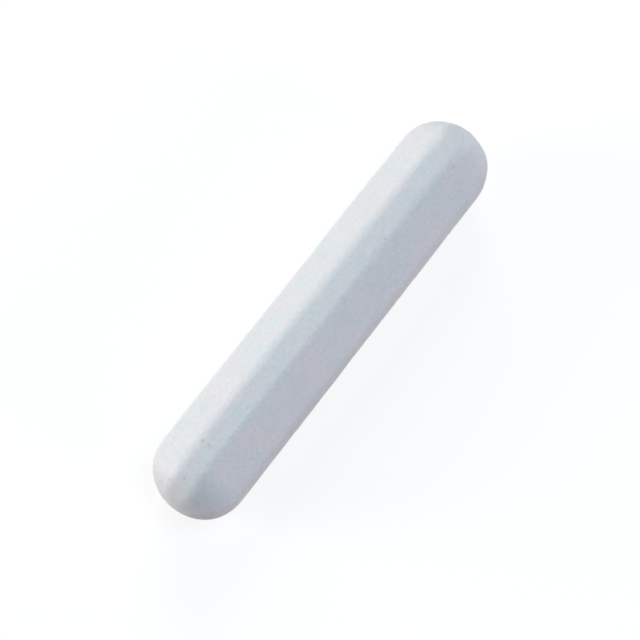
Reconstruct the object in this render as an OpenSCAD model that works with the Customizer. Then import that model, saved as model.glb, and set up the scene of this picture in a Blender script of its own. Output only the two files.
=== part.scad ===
// Magnetic stir bar: a rod magnet sealed in a moulded PTFE jacket.
// The bar lies along X on one of its narrow facets, with the middle of that facet at the origin.
// Its section has eight facets, narrow and broad by turns, joined by rounded long edges.
// The ends are domed: each facet curves over towards the tip, and a sphere rounds the ridges between them.

/* [Bar] */
// Overall length, from tip to tip
bar_length = 40; // [30:0.5:80]
// Distance across two opposite narrow facets, which is the height of the bar as it lies
across_narrow = 7.88; // [7:0.02:12]
// How much nearer the axis a broad facet lies than a narrow one
broad_facet_step = 0.34; // [0.1:0.01:0.6]
// Radius of the rounded long edges between the facets
edge_radius = 1.5; // [0.3:0.05:2]
// How far the arcs of the domed ends stand out past the facets where they meet them
arc_margin = 0.03; // [0.02:0.01:0.06]
// How far the spheres at the ends stand out past the long edges where they meet them
sphere_margin = 0.1; // [0.08:0.01:0.2]

/* [Jacket] */
// Thickness of the jacket over the magnet, at the middle of a broad facet
side_wall = 1.05; // [0.6:0.05:1.8]
// Thickness of the jacket past each end of the magnet, measured to the tip
end_wall = 4.95; // [3:0.05:9]

/* [Magnet] */
// Gap between the magnet and the jacket that is moulded round it
magnet_clearance = 0.05; // [0.02:0.01:0.2]
// Chamfer round both ends of the magnet
magnet_chamfer = 0.4; // [0.1:0.05:0.8]

/* [Hidden] */
$fn = 96;
facet_count = 8;
facet_angle = 360 / facet_count;

narrow_apothem = across_narrow / 2;
broad_apothem = narrow_apothem - broad_facet_step;

// How far the rounded edges overlap the facets, so that no sliver is left where they run out on them
edge_overlap = 0.00001;

// The magnet fills what the jacket's walls leave
magnet_radius = broad_apothem - side_wall - magnet_clearance;
magnet_length = bar_length - 2 * (end_wall + magnet_clearance);

// The spheres are a little wider than the rounded long edges, and each reaches to its tip
sphere_radius = norm(edge_centre(0)) + edge_radius + sphere_margin;
sphere_centre = bar_length / 2 - sphere_radius;

// How far the arcs would run on past the tips, so that the spheres alone shape the tips
arc_overrun = 0.01;

// Extra size of a shape wherever the others cut it off
spare = 1;

// Distance from the axis to facet k: even facets are the narrow ones
function apothem(k) = k % 2 == 0 ? narrow_apothem : broad_apothem;

// The same distance for that facet moved in by the edge radius
function inset_apothem(k) = apothem(k) - edge_radius;

// Centre of the rounded edge between facets k and k + 1, where both facets moved in by the edge radius cross
function edge_centre(k) =
  let (along = (inset_apothem(k + 1) - inset_apothem(k) * cos(facet_angle)) / sin(facet_angle))
  turn([inset_apothem(k), along], k * facet_angle);

// A point turned by an angle about the axis
function turn(p, angle) = [p.x * cos(angle) - p.y * sin(angle), p.x * sin(angle) + p.y * cos(angle)];

// Where the rounded edge k runs into its first facet (side 0) or its second (side 1)
function edge_tangent(k, side) = edge_centre(k) + turn([edge_radius, 0], (k + side) * facet_angle);

// Section of the bar across its axis
module bar_section() {
  polygon([for (k = [0 : facet_count - 1], side = [0, 1]) edge_tangent(k, side)]);
  for (k = [0 : facet_count - 1])
    translate(edge_centre(k))
      circle(r = edge_radius + edge_overlap);
}

// Round rod on the Z axis, centred, with chamfered ends
module chamfered_rod(radius, length, chamfer) {
  rotate_extrude()
    polygon([
      [0, -length / 2],
      [radius - chamfer, -length / 2],
      [radius, chamfer - length / 2],
      [radius, length / 2 - chamfer],
      [radius - chamfer, length / 2],
      [0, length / 2]
    ]);
}

// Slab between facet k and the one opposite, whose ends are half round as seen along the facets.
// The facets cut off its flat sides, which are set in a little so that they cross the arcs at an angle.
module domed_slab(k) {
  arc_radius = apothem(k) + arc_margin;
  arc_centre = bar_length / 2 + arc_overrun - arc_radius;
  flat_side = apothem(k) + arc_margin / 2;
  rotate([0, 0, k * facet_angle])
    rotate([90, 0, 0])
      linear_extrude(height = 2 * (sphere_radius + spare), center = true) {
        square([2 * flat_side, 2 * arc_centre], center = true);
        for (side = [-1, 1])
          translate([0, side * arc_centre])
            circle(r = arc_radius);
      }
}

// Round rod on the Z axis, centred, with spherical ends
module round_ended_rod() {
  cylinder(h = 2 * sphere_centre, r = sphere_radius, center = true);
  for (side = [-1, 1])
    translate([0, 0, side * sphere_centre])
      sphere(r = sphere_radius);
}

// Lays a piece made on the Z axis along X, at the height of the bar's axis
module lay_down() {
  translate([0, 0, narrow_apothem])
    rotate([0, 90, 0])
      children();
}

// One-piece jacket, closed all round the space that holds the magnet
module ptfe_jacket() {
  color([0.92, 0.93, 0.95])
    lay_down()
      difference() {
        intersection() {
          linear_extrude(height = bar_length + 2 * spare, center = true)
            bar_section();
          intersection_for(k = [0 : facet_count / 2 - 1])
            domed_slab(k);
          round_ended_rod();
        }
        chamfered_rod(
          magnet_radius + magnet_clearance,
          magnet_length + 2 * magnet_clearance,
          magnet_chamfer
        );
      }
}

// Rod magnet, sealed inside
module bar_magnet() {
  color([0.42, 0.42, 0.43])
    lay_down()
      chamfered_rod(magnet_radius, magnet_length, magnet_chamfer);
}

ptfe_jacket();
bar_magnet();
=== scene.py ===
"""A magnetic stir bar: a rod magnet sealed in a white PTFE jacket, lying on a white floor."""

import math

import bpy
import numpy as np
from mathutils import Matrix, Vector, noise


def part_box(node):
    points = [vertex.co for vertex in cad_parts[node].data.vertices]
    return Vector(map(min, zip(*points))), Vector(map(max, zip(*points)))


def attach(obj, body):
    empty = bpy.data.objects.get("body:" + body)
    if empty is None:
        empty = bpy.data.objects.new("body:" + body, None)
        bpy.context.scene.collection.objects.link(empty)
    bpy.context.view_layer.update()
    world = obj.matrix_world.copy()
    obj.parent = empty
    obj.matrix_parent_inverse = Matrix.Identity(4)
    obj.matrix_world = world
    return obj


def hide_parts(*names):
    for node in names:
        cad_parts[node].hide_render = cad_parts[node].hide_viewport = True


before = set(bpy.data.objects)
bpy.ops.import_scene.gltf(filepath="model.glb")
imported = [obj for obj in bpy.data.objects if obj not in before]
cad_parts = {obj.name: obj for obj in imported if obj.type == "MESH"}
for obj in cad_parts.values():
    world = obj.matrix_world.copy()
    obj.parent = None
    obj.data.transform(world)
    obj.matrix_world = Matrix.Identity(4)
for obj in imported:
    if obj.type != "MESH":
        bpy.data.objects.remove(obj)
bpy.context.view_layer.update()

MM = 0.001
# A full turn and its parts, in radians
FULL_TURN = 2 * math.pi
QUARTER = FULL_TURN / 4
EIGHTH = FULL_TURN / 8

# Length, height and magnet of the bar, from the CAD solids
JACKET_LOW, JACKET_HIGH = (Vector(corner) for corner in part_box("ptfe_jacket"))
MAGNET_LOW, MAGNET_HIGH = (Vector(corner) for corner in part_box("bar_magnet"))
HALF_LENGTH = (JACKET_HIGH.x - JACKET_LOW.x) / 2
NARROW_APOTHEM = (JACKET_HIGH.z - JACKET_LOW.z) / 2

# How much nearer the axis a broad facet lies than a narrow one
BROAD_FACET_STEP = 0.34 * MM
# Radius of the rounded long edges between the facets
EDGE_RADIUS = 1.5 * MM
# Length of the domes, and the power of their curve, where 2 would give an ellipse
DOME_LENGTH = 4.11 * MM
DOME_POWER = 2.3
DOME_START = HALF_LENGTH - DOME_LENGTH
# Powers by which the facet step and the edge radius shrink as a dome gets lower
STEP_POWER = 3
EDGE_POWER = 0.5
# Gap between the magnet and the jacket, and the chamfer round the magnet's ends
MAGNET_CLEARANCE = 0.05 * MM
MAGNET_CHAMFER = 0.4 * MM

# How finely the mesh is divided along the bar: the distance of the rings between the domes, the steps of a
# dome's curve, and how many of those its cap takes up
RING_STEP = 0.135 * MM
DOME_STEPS = 44
CAP_STEPS = 8
# How finely it is divided round the bar: half a narrow facet, a rounded edge, half a broad facet, the cavity
NARROW_STEPS = 4
EDGE_STEPS = 10
BROAD_STEPS = 10
CAVITY_SIDES = 64
# Edges that turn more than this stay crisp
SHARP_ANGLE = math.radians(30)

# Unevenness of the moulded skin, up or down: broad waves, longer along the bar than across it, and dimples
WAVE_HEIGHT = 0.035 * MM
WAVE_LENGTH = 7 * MM
WAVE_BREADTH = 3.5 * MM
DIMPLE_HEIGHT = 0.018 * MM
DIMPLE_SIZE = 1.1 * MM

# Grain of the PTFE: lumps of tint, fine mottling and its relief, patches of gloss, and how deep light gets
TINT_SIZE = 2.6 * MM
GRAIN_SIZE = 0.3 * MM
GRAIN_RELIEF = 0.05 * MM
GLOSS_SIZE = 0.5 * MM
LIGHT_DEPTH = 0.5 * MM

# Where the values of soft noise mostly lie
NOISE_LOW, NOISE_HIGH = 0.3, 0.7

# Small grey specks in the PTFE: mm along the bar, degrees round it from the top, radius in mm, darkness
SPECKS = (
    (-14.8, 11, 0.21, 0.21),
    (-14.8, 2, 0.2, 0.14),
    (-18, 2, 0.16, 0.18),
    (15.7, -22, 0.12, 0.24),
    (14.4, -21, 0.12, 0.2),
    (7.2, -11, 0.12, 0.24),
    (1.2, 52, 0.12, 0.18),
    (-6.4, 112, 0.14, 0.25),
    (3.1, 158, 0.18, 0.3),
    (11.8, -134, 0.12, 0.2),
    (-11.2, -96, 0.13, 0.22),
    (17.5, 71, 0.14, 0.2),
    (-16.9, 176, 0.12, 0.2),
)
# Share of a speck's radius that is evenly dark, before it fades out
SPECK_CORE = 0.3

# Grain of the magnet: the cast skin's patches, and its fine relief
CAST_SIZE = 0.9 * MM
CAST_GRAIN_SIZE = 0.25 * MM
CAST_RELIEF = 0.03 * MM

# The view: a camera without roll, and the bar lying aslant on the floor. The sensor's width is in mm.
CAMERA_ELEVATION = math.radians(73.8)
BAR_SLANT = math.radians(51.81)
CAMERA_DISTANCE = 153.1 * MM
CLIP_START, CLIP_END = 0.01, 10
PIXELS_PER_MM = 12.192
IMAGE_SIZE = 640
SENSOR_WIDTH = 36.0
BAR_MIDDLE_PX = (324.08, 315.67)

# Soft lamps: degrees round the bar from the picture's right, degrees up, width in metres, watts by colour
LAMPS = {
    "left_low": (180, 14, 0.22, (1.725, 1.655, 1.635)),
    "back": (90, 30, 0.26, (0.92, 0.89, 0.855)),
    "front_right_low": (330, 14, 0.22, (0.735, 0.6, 0.645)),
    "right_high": (0, 68, 0.26, (0.445, 0.65, 0.77)),
}
LAMP_DISTANCE = 0.5
# Strength of the plain light that comes from all round
WORLD_LIGHT = 0.1

# The floor, set just clear of the bar's lowest facet so that their faces don't coincide
FLOOR_SIZE = 1.2
FLOOR_GAP = 0.01 * MM
# Share of the light that the floor gives back, and what lifts it to white in view
FLOOR_ALBEDO = 0.3
FLOOR_LIFT = 0.8
# Size of the floor's grain, and how much less light its dark spots give back
FLOOR_GRAIN_SIZE = 0.6 * MM
FLOOR_GRAIN_DEPTH = 0.01


# ---------------------------------------------------------------- the jacket's form

def share_at(x):
    """Share of the full height that the bar has at x: 1 between the domes, down to 0 at the tips."""
    past = np.clip(np.abs(x) - DOME_START, 0, None) / DOME_LENGTH
    return np.sqrt(1 - past ** DOME_POWER)


def place_of_share(share):
    """Distance from the middle of the bar to where it has shrunk to this share of its height."""
    return DOME_START + DOME_LENGTH * (1 - share ** 2) ** (1 / DOME_POWER)


def eighth_of_section(share):
    """Points from the middle of a narrow facet to the middle of the next broad one, as (out, along) pairs.

    Towards a tip the broad facets come level with the narrow ones, and the edges stay well rounded.
    """
    narrow = NARROW_APOTHEM * share
    broad = narrow - BROAD_FACET_STEP * share ** STEP_POWER
    edge = EDGE_RADIUS * share ** EDGE_POWER
    centre_out = narrow - edge
    centre_along = (broad - edge - centre_out * math.cos(EIGHTH)) / math.sin(EIGHTH)
    points = [(narrow, centre_along * i / NARROW_STEPS) for i in range(NARROW_STEPS)]
    for i in range(EDGE_STEPS + 1):
        angle = EIGHTH * i / EDGE_STEPS
        points.append((centre_out + edge * math.cos(angle), centre_along + edge * math.sin(angle)))
    start = points[-1]
    middle = (broad * math.cos(EIGHTH), broad * math.sin(EIGHTH))
    for i in range(1, BROAD_STEPS + 1):
        way = i / BROAD_STEPS
        points.append(tuple(a + (b - a) * way for a, b in zip(start, middle)))
    return points


def section_at(x):
    """Angles round the axis from +Z, and the bar's radius at each, once round at a place along the bar."""
    points = eighth_of_section(float(share_at(x)))
    angles = [math.atan2(along, out) for out, along in points]
    radii = [math.hypot(out, along) for out, along in points]
    angles += [QUARTER - angle for angle in reversed(angles[1:-1])]
    radii += list(reversed(radii[1:-1]))
    all_angles = np.concatenate([np.array(angles) + QUARTER * k for k in range(4)])
    return all_angles, np.tile(radii, 4)


def point_on_bar(x, angle, radius):
    return Vector((x, radius * math.sin(angle), NARROW_APOTHEM + radius * math.cos(angle)))


def uneven_point(x, angle, radius):
    """A point of the bar's skin, which waves a little about its true shape and comes true on the domes."""
    point = point_on_bar(x, angle, radius)
    wave = noise.noise(Vector((point.x / WAVE_LENGTH, point.y / WAVE_BREADTH, point.z / WAVE_BREADTH)))
    dimple = noise.noise(point / DIMPLE_SIZE)
    fade = min(max((HALF_LENGTH - DOME_LENGTH / 2 - abs(x)) / DOME_LENGTH, 0), 1)
    point = point_on_bar(x, angle, radius + (WAVE_HEIGHT * wave + DIMPLE_HEIGHT * dimple) * fade)
    # nothing stands out past the four facets that bound the bar, so it keeps its size and lies on the floor
    point.y = min(max(point.y, -NARROW_APOTHEM), NARROW_APOTHEM)
    point.z = min(max(point.z, 0), 2 * NARROW_APOTHEM)
    return point


def along_stations():
    """Places of the rings along the bar, from one cap to the other."""
    turns = np.linspace(0, QUARTER, DOME_STEPS + 1)[: -CAP_STEPS]
    dome = place_of_share(np.cos(turns))
    straight_count = round(2 * DOME_START / RING_STEP)
    straight = np.linspace(-DOME_START, DOME_START, straight_count + 1)[1:-1]
    return np.concatenate([-dome[::-1], straight, dome])


def jacket_mesh():
    """The jacket as one closed mesh of skin, two caps and the cavity. All its faces look out of the PTFE."""
    vertices, faces = [], []
    stations = along_stations()
    for x in stations:
        angles, radii = section_at(x)
        vertices += [uneven_point(x, angle, radius) for angle, radius in zip(angles, radii)]
    count = len(angles)
    add_tube(faces, 0, len(stations), count, inwards=False)
    add_cap(vertices, faces, stations[0], 0, flip=False)
    add_cap(vertices, faces, stations[-1], (len(stations) - 1) * count, flip=True)
    add_cavity(vertices, faces)
    return vertices, faces


def add_tube(faces, start, rings, count, inwards):
    """Adds the quads that join rings into a tube. Each ring has count vertices, numbered on from start."""
    for ring in range(rings - 1):
        for i in range(count):
            here = start + ring * count + i
            beside = start + ring * count + (i + 1) % count
            if inwards:
                faces.append((here, beside, beside + count, here + count))
            else:
                faces.append((here, here + count, beside + count, beside))


def quarters_round(u, v, out):
    """How many quarters round a square a point of its rim lies, counted from the corner (-out, -out)."""
    if out == 0:
        return 0
    if v == -out:
        return (u / out + 1) / 2
    if u == out:
        return 1 + (v / out + 1) / 2
    if v == out:
        return 2 + (1 - u / out) / 2
    return 3 + (1 - v / out) / 2


def add_cap(vertices, faces, x_ring, ring_start, flip):
    """Closes an end with a square grid of quads, bent over the tip. Its rim is the skin's end ring."""
    angles, radii = section_at(x_ring)
    count = len(angles)
    side = count // 4
    ring_share = share_at(x_ring)
    index = {}
    for row in range(side + 1):
        for column in range(side + 1):
            u, v = 2 * column / side - 1, 2 * row / side - 1
            out = max(abs(u), abs(v))
            place = quarters_round(u, v, out) * side % count
            if math.isclose(out, 1):
                index[row, column] = ring_start + round(place) % count
                continue
            here = int(place)
            after = (here + 1) % count
            rest = place - here
            angle = angles[here] + ((angles[after] - angles[here]) % FULL_TURN) * rest
            radius = radii[here] + (radii[after] - radii[here]) * rest
            x = math.copysign(place_of_share(ring_share * out), x_ring)
            index[row, column] = len(vertices)
            vertices.append(point_on_bar(x, angle, radius * out))
    for row in range(side):
        for column in range(side):
            quad = (
                index[row, column], index[row, column + 1],
                index[row + 1, column + 1], index[row + 1, column],
            )
            faces.append(quad[::-1] if flip else quad)


def add_cavity(vertices, faces):
    """Adds the sealed space round the magnet: a rod with chamfered ends, whose faces look inwards."""
    radius = (MAGNET_HIGH.z - MAGNET_LOW.z) / 2 + MAGNET_CLEARANCE
    half = (MAGNET_HIGH.x - MAGNET_LOW.x) / 2 + MAGNET_CLEARANCE
    rings = (
        (-half, radius - MAGNET_CHAMFER),
        (MAGNET_CHAMFER - half, radius),
        (half - MAGNET_CHAMFER, radius),
        (half, radius - MAGNET_CHAMFER),
    )
    angles = [FULL_TURN * i / CAVITY_SIDES for i in range(CAVITY_SIDES)]
    start = len(vertices)
    for x, ring_radius in rings:
        vertices += [point_on_bar(x, angle, ring_radius) for angle in angles]
    add_tube(faces, start, len(rings), CAVITY_SIDES, inwards=True)
    first_ring = range(start, start + CAVITY_SIDES)
    last_ring = range(len(vertices) - CAVITY_SIDES, len(vertices))
    faces.append(tuple(reversed(first_ring)))
    faces.append(tuple(last_ring))


def make_object(name, vertices, faces):
    """An object of this mesh, smooth apart from its crisp edges."""
    mesh = bpy.data.meshes.new(name)
    mesh.from_pydata(vertices, [], faces)
    mesh.validate()
    mesh.shade_smooth()
    mesh.set_sharp_from_angle(angle=SHARP_ANGLE)
    obj = bpy.data.objects.new(name, mesh)
    bpy.context.scene.collection.objects.link(obj)
    return obj


# ---------------------------------------------------------------- materials

class Nodes:
    """Short ways of adding nodes to the tree of a material or a world, and joining them."""

    # Numbers of the Mix node's sockets for colours: how much it mixes, its two colours, and the result
    MIX_FACTOR, MIX_FIRST, MIX_SECOND = 0, 6, 7
    MIX_RESULT = 2

    def __init__(self, owner):
        owner.use_nodes = True
        self.owner = owner
        self.tree = owner.node_tree

    def inputs_of(self, name):
        """The sockets of a node that the tree has from the start."""
        return self.tree.nodes[name].inputs

    def add(self, kind, **settings):
        node = self.tree.nodes.new("ShaderNode" + kind)
        for name, value in settings.items():
            setattr(node, name, value)
        return node

    def fill(self, socket, value):
        """Puts a plain value in a socket, or joins another node's output to it."""
        if isinstance(value, bpy.types.NodeSocket):
            self.tree.links.new(value, socket)
        else:
            socket.default_value = value

    def math(self, operation, first, second):
        node = self.add("Math", operation=operation)
        self.fill(node.inputs[0], first)
        self.fill(node.inputs[1], second)
        return node.outputs[0]

    def place(self):
        """The place on the object in its own frame, in metres."""
        return self.add("TexCoord").outputs["Object"]

    def noise(self, size, place, detail=2.0, roughness=0.5):
        """Soft noise from 0 to 1 whose lumps are about this size, in metres."""
        node = self.add("TexNoise")
        node.inputs["Scale"].default_value = 1 / size
        node.inputs["Detail"].default_value = detail
        node.inputs["Roughness"].default_value = roughness
        self.fill(node.inputs["Vector"], place)
        return node.outputs["Fac"]

    def ramp(self, value, stops):
        """A colour for each value, from (value, colour) stops."""
        node = self.add("ValToRGB")
        elements = node.color_ramp.elements
        while len(elements) < len(stops):
            elements.new(0.5)
        for element, (position, color) in zip(elements, stops):
            element.position = position
            element.color = (*color, 1)
        self.fill(node.inputs["Fac"], value)
        return node.outputs["Color"]

    def span(self, value, low, high, to_low, to_high):
        """A value moved from one span to another, and kept inside it."""
        node = self.add("MapRange", clamp=True)
        node.inputs["From Min"].default_value = low
        node.inputs["From Max"].default_value = high
        node.inputs["To Min"].default_value = to_low
        node.inputs["To Max"].default_value = to_high
        self.fill(node.inputs["Value"], value)
        return node.outputs["Result"]

    def product(self, first, second):
        """Two colours multiplied."""
        node = self.add("Mix", data_type="RGBA", blend_type="MULTIPLY")
        node.inputs[self.MIX_FACTOR].default_value = 1.0
        self.fill(node.inputs[self.MIX_FIRST], first)
        self.fill(node.inputs[self.MIX_SECOND], second)
        return node.outputs[self.MIX_RESULT]

    def bump(self, height, distance):
        """The way that a skin with this relief faces, where a height of 1 stands out by the distance."""
        node = self.add("Bump")
        node.inputs["Distance"].default_value = distance
        self.fill(node.inputs["Height"], height)
        return node.outputs["Normal"]


def clean_share(nodes, place):
    """1 where the PTFE is clean, and less in each small speck."""
    clean = 1.0
    for x_mm, degrees, radius_mm, darkness in SPECKS:
        x, angle, size = x_mm * MM, math.radians(degrees), radius_mm * MM
        radius = np.interp(angle, *section_at(x), period=FULL_TURN)
        distance = nodes.add("VectorMath", operation="DISTANCE")
        nodes.fill(distance.inputs[0], place)
        nodes.fill(distance.inputs[1], point_on_bar(x, angle, radius))
        spot = nodes.span(distance.outputs["Value"], SPECK_CORE * size, size, 1 - darkness, 1)
        clean = nodes.math("MULTIPLY", spot, clean)
    return clean


def ptfe_material():
    """Moulded PTFE: matte, slightly waxy and cool white, with broad faint tints and a fine mottled grain."""
    nodes = Nodes(bpy.data.materials.new("ptfe"))
    shader = nodes.inputs_of("Principled BSDF")
    place = nodes.place()
    tint = nodes.ramp(nodes.noise(TINT_SIZE, place, detail=3.0, roughness=0.65), (
        (0.35, (0.808, 0.866, 0.89)),
        (0.5, (0.855, 0.866, 0.885)),
        (0.65, (0.882, 0.86, 0.88)),
    ))
    mottled = nodes.ramp(nodes.noise(GRAIN_SIZE, place, detail=1.5), (
        (NOISE_LOW, (0.93, 0.94, 0.945)),
        (NOISE_HIGH, (1.0, 1.0, 1.0)),
    ))
    skin = nodes.product(tint, mottled)
    nodes.fill(shader["Base Color"], nodes.product(skin, clean_share(nodes, place)))
    gloss = nodes.noise(GLOSS_SIZE, place)
    nodes.fill(shader["Roughness"], nodes.span(gloss, NOISE_LOW, NOISE_HIGH, 0.4, 0.5))
    nodes.fill(shader["Normal"], nodes.bump(nodes.noise(GRAIN_SIZE, place), GRAIN_RELIEF))
    shader["IOR"].default_value = 1.36
    shader["Subsurface Weight"].default_value = 0.35
    shader["Subsurface Radius"].default_value = (1.0, 1.0, 1.0)
    shader["Subsurface Scale"].default_value = LIGHT_DEPTH
    return nodes.owner


def magnet_material():
    """Cast aluminium-nickel-cobalt alloy: dull grey metal with a grainy cast skin."""
    nodes = Nodes(bpy.data.materials.new("magnet_alloy"))
    shader = nodes.inputs_of("Principled BSDF")
    place = nodes.place()
    skin = nodes.noise(CAST_SIZE, place, detail=5.0, roughness=0.65)
    nodes.fill(shader["Base Color"], nodes.ramp(skin, (
        (NOISE_LOW, (0.2, 0.2, 0.205)),
        (0.55, (0.3, 0.3, 0.31)),
        (0.75, (0.38, 0.375, 0.37)),
    )))
    nodes.fill(shader["Roughness"], nodes.span(skin, NOISE_LOW, NOISE_HIGH, 0.62, 0.42))
    nodes.fill(shader["Normal"], nodes.bump(nodes.noise(CAST_GRAIN_SIZE, place, detail=4.0), CAST_RELIEF))
    shader["Metallic"].default_value = 1.0
    return nodes.owner


def seen_by(nodes):
    """1 for the rays that show the background: from the camera, and in gloss and glass."""
    path = nodes.add("LightPath")
    seen = nodes.math("MAXIMUM", path.outputs["Is Camera Ray"], path.outputs["Is Glossy Ray"])
    return nodes.math("MAXIMUM", seen, path.outputs["Is Transmission Ray"])


def floor_material():
    """Matte white floor, lifted to a white ground for the camera while it still takes the bar's shadow."""
    nodes = Nodes(bpy.data.materials.new("floor_white"))
    shader = nodes.inputs_of("Principled BSDF")
    nodes.fill(shader["Base Color"], nodes.ramp(nodes.noise(FLOOR_GRAIN_SIZE, nodes.place(), detail=3.0), (
        (NOISE_LOW, (FLOOR_ALBEDO * (1 - FLOOR_GRAIN_DEPTH),) * 3),
        (NOISE_HIGH, (FLOOR_ALBEDO,) * 3),
    )))
    shader["Roughness"].default_value = 0.9
    shader["Specular IOR Level"].default_value = 0.0
    shader["Emission Color"].default_value = (1, 1, 1, 1)
    nodes.fill(shader["Emission Strength"], nodes.math("MULTIPLY", seen_by(nodes), FLOOR_LIFT))
    return nodes.owner


# ---------------------------------------------------------------- the view and the light

def view_axes():
    """The camera's right, up and backward directions, in which the bar, along X, shows at its slant."""
    slant = math.atan(math.tan(BAR_SLANT) / math.sin(CAMERA_ELEVATION))
    right = Vector((math.cos(slant), -math.sin(slant), 0))
    away = Vector((math.sin(slant), math.cos(slant), 0))
    up = away * math.sin(CAMERA_ELEVATION) + Vector((0, 0, math.cos(CAMERA_ELEVATION)))
    back = -away * math.cos(CAMERA_ELEVATION) + Vector((0, 0, math.sin(CAMERA_ELEVATION)))
    return right, up, back


def add_camera():
    right, up, back = view_axes()
    pixel = MM / PIXELS_PER_MM
    middle = Vector((0, 0, NARROW_APOTHEM))
    target = middle - right * (BAR_MIDDLE_PX[0] - IMAGE_SIZE / 2) * pixel
    target += up * (BAR_MIDDLE_PX[1] - IMAGE_SIZE / 2) * pixel
    data = bpy.data.cameras.new("camera")
    data.sensor_width = SENSOR_WIDTH
    data.lens = SENSOR_WIDTH * CAMERA_DISTANCE / (IMAGE_SIZE * pixel)
    data.clip_start = CLIP_START
    data.clip_end = CLIP_END
    camera = bpy.data.objects.new("camera", data)
    turn = Matrix((right, up, back)).transposed().to_4x4()
    camera.matrix_world = Matrix.Translation(target + back * CAMERA_DISTANCE) @ turn
    bpy.context.scene.collection.objects.link(camera)
    bpy.context.scene.camera = camera


def add_lamps():
    """Soft lamps, placed round the bar as the camera sees it and aimed at the floor under its middle."""
    right = view_axes()[0]
    away = Vector((-right.y, right.x, 0))
    for name, (azimuth, elevation, width, watts) in LAMPS.items():
        azimuth, elevation = math.radians(azimuth), math.radians(elevation)
        level = right * math.cos(azimuth) + away * math.sin(azimuth)
        towards = level * math.cos(elevation) + Vector((0, 0, math.sin(elevation)))
        data = bpy.data.lights.new(name, "AREA")
        data.shape = "DISK"
        data.size = width
        data.energy = max(watts)
        data.color = [part / max(watts) for part in watts]
        lamp = bpy.data.objects.new(name, data)
        lamp.location = towards * LAMP_DISTANCE
        lamp.rotation_euler = towards.to_track_quat("Z", "Y").to_euler()
        lamp.visible_camera = False
        bpy.context.scene.collection.objects.link(lamp)


def add_world():
    """Plain grey light all round, which shows as white to the camera."""
    nodes = Nodes(bpy.data.worlds.new("studio"))
    background = nodes.inputs_of("Background")
    background["Color"].default_value = (1, 1, 1, 1)
    nodes.fill(background["Strength"], nodes.span(seen_by(nodes), 0, 1, WORLD_LIGHT, 1))
    bpy.context.scene.world = nodes.owner


# ---------------------------------------------------------------- the scene

jacket = make_object("ptfe_jacket_shell", *jacket_mesh())
jacket.data.materials.append(ptfe_material())
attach(jacket, "root")
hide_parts("ptfe_jacket")

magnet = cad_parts["bar_magnet"]
magnet.data.materials.clear()
magnet.data.materials.append(magnet_material())

bpy.ops.mesh.primitive_plane_add(size=FLOOR_SIZE, location=(0, 0, -FLOOR_GAP))
floor = bpy.context.object
floor.name = "floor"
floor.data.materials.append(floor_material())

add_camera()
add_lamps()
add_world()
bpy.context.scene.view_settings.view_transform = "Standard"
